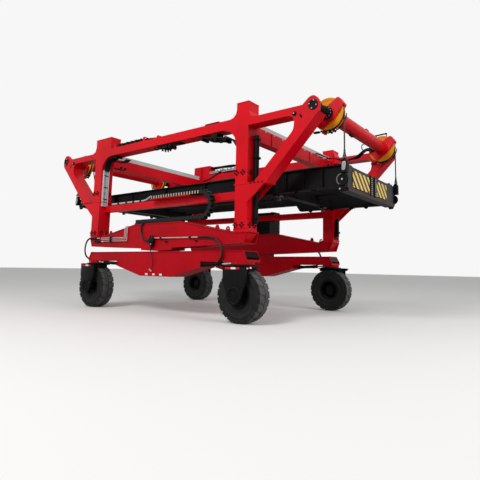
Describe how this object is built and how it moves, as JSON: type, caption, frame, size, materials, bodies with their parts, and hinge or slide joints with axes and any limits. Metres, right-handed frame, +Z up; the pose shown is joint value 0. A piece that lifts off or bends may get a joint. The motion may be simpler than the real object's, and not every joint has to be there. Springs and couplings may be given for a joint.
{
  "type": "rubber tyred gantry crane",
  "caption": "Small rubber tyred gantry crane: red portal frame on steered wheels, with hoist drums at the cantilevered heads holding a black lifting frame on ropes.",
  "frame": {"origin": "on the ground at the middle of the crane, halfway between the wheels", "axes": "+X forward along the crane, +Y to its left side, +Z up"},
  "size_m": [9.7826, 4.944, 4.9],
  "materials": {
    "signal_red_paint": "gloss coat over welded steel plate",
    "black_paint": "semi-gloss",
    "drum_yellow": "gloss",
    "tyre": "matt, dusty",
    "wire_rope": "greased",
    "grey_trunk": "satin",
    "chain_plastic": "moulded",
    "zinc_steel": "zinc plated",
    "housing_black": "satin"
  },
  "bodies": {
    "frame": {"near_upper_beam": "signal_red_paint", "far_upper_beam": "signal_red_paint", "near_legs": "signal_red_paint", "far_legs": "signal_red_paint", "near_arms": "signal_red_paint", "far_arms": "signal_red_paint", "near_struts": "signal_red_paint", "far_struts": "signal_red_paint", "near_lower_legs": "signal_red_paint", "far_lower_legs": "signal_red_paint", "near_mid_rail": "signal_red_paint", "far_mid_rail": "signal_red_paint", "near_sill": "signal_red_paint", "far_sill": "signal_red_paint", "far_rocker": "signal_red_paint", "far_rocker_blocks": "signal_red_paint", "cross_beams": "signal_red_paint", "cable_trunks": "grey_trunk", "front_cross_tube": "signal_red_paint", "rear_cross_tube": "signal_red_paint", "hoist_motors": "black_paint", "leg_rails": "black_paint", "energy_chain": "chain_plastic", "chain_trough": "zinc_steel", "chain_tray": "signal_red_paint", "engine_housing": "housing_black", "near_lifting_lugs": "signal_red_paint", "far_lifting_lugs": "signal_red_paint", "hoist_ropes": "wire_rope"},
    "near_wheel_beam": {"near_rocker": "signal_red_paint"},
    "near_front_steering": {"near_front_fork": "black_paint"},
    "near_front_wheel": {"near_front_tyre": "tyre", "near_front_rim": "black_paint"},
    "near_rear_steering": {"near_rear_fork": "black_paint"},
    "near_rear_wheel": {"near_rear_tyre": "tyre", "near_rear_rim": "black_paint"},
    "far_front_steering": {"far_front_fork": "black_paint"},
    "far_front_wheel": {"far_front_tyre": "tyre", "far_front_rim": "black_paint"},
    "far_rear_steering": {"far_rear_fork": "black_paint"},
    "far_rear_wheel": {"far_rear_tyre": "tyre", "far_rear_rim": "black_paint"},
    "front_hoist_drums": {"front_drums": "drum_yellow"},
    "rear_hoist_drums": {"rear_drums": "drum_yellow"},
    "spreader": {"spreader_side_beams": "black_paint", "spreader_end_beams": "black_paint", "spreader_corners": "black_paint", "rope_sockets": "zinc_steel", "spreader_lock_beams": "black_paint", "spreader_girders": "black_paint", "twistlocks": "black_paint"}
  },
  "joints": [
    {"name": "near_wheel_beam_swing", "type": "hinge", "parent": "frame", "child": "near_wheel_beam", "pos_m": [0, -2.035, 1.33], "axis": [0, 1, 0], "range_deg": [-2.5, 2.5]},
    {"name": "near_front_steer", "type": "hinge", "parent": "near_wheel_beam", "child": "near_front_steering", "pos_m": [2.68, -2.12, 1.28], "axis": [0, 0, 1], "range_deg": [-45, 45]},
    {"name": "near_front_roll", "type": "hinge", "parent": "near_front_steering", "child": "near_front_wheel", "pos_m": [2.68, -2.12, 0.59], "axis": [0, 1, 0], "continuous": true},
    {"name": "near_rear_steer", "type": "hinge", "parent": "near_wheel_beam", "child": "near_rear_steering", "pos_m": [-2.68, -2.12, 1.28], "axis": [0, 0, 1], "range_deg": [-45, 45]},
    {"name": "near_rear_roll", "type": "hinge", "parent": "near_rear_steering", "child": "near_rear_wheel", "pos_m": [-2.68, -2.12, 0.59], "axis": [0, 1, 0], "continuous": true},
    {"name": "far_front_steer", "type": "hinge", "parent": "frame", "child": "far_front_steering", "pos_m": [2.68, 2.12, 1.28], "axis": [0, 0, 1], "range_deg": [-45, 45]},
    {"name": "far_front_roll", "type": "hinge", "parent": "far_front_steering", "child": "far_front_wheel", "pos_m": [2.68, 2.12, 0.59], "axis": [0, 1, 0], "continuous": true},
    {"name": "far_rear_steer", "type": "hinge", "parent": "frame", "child": "far_rear_steering", "pos_m": [-2.68, 2.12, 1.28], "axis": [0, 0, 1], "range_deg": [-45, 45]},
    {"name": "far_rear_roll", "type": "hinge", "parent": "far_rear_steering", "child": "far_rear_wheel", "pos_m": [-2.68, 2.12, 0.59], "axis": [0, 1, 0], "continuous": true},
    {"name": "hoist", "type": "slide", "parent": "frame", "child": "spreader", "axis": [0, 0, 1], "range_m": [-0.45, 0.56], "deforming": ["hoist_ropes"]},
    {"name": "front_drums_turn", "type": "hinge", "parent": "frame", "child": "front_hoist_drums", "pos_m": [4.48, 0, 4.455], "axis": [0, 1, 0], "range_deg": [-93, 75]},
    {"name": "rear_drums_turn", "type": "hinge", "parent": "frame", "child": "rear_hoist_drums", "pos_m": [-4.48, 0, 4.455], "axis": [0, 1, 0], "range_deg": [-75, 93]}
  ],
  "couplings": [
    {"joint": "front_drums_turn", "follows": "hoist", "rad_per_m": -2.8466},
    {"joint": "rear_drums_turn", "follows": "hoist", "rad_per_m": 2.8466}
  ]
}
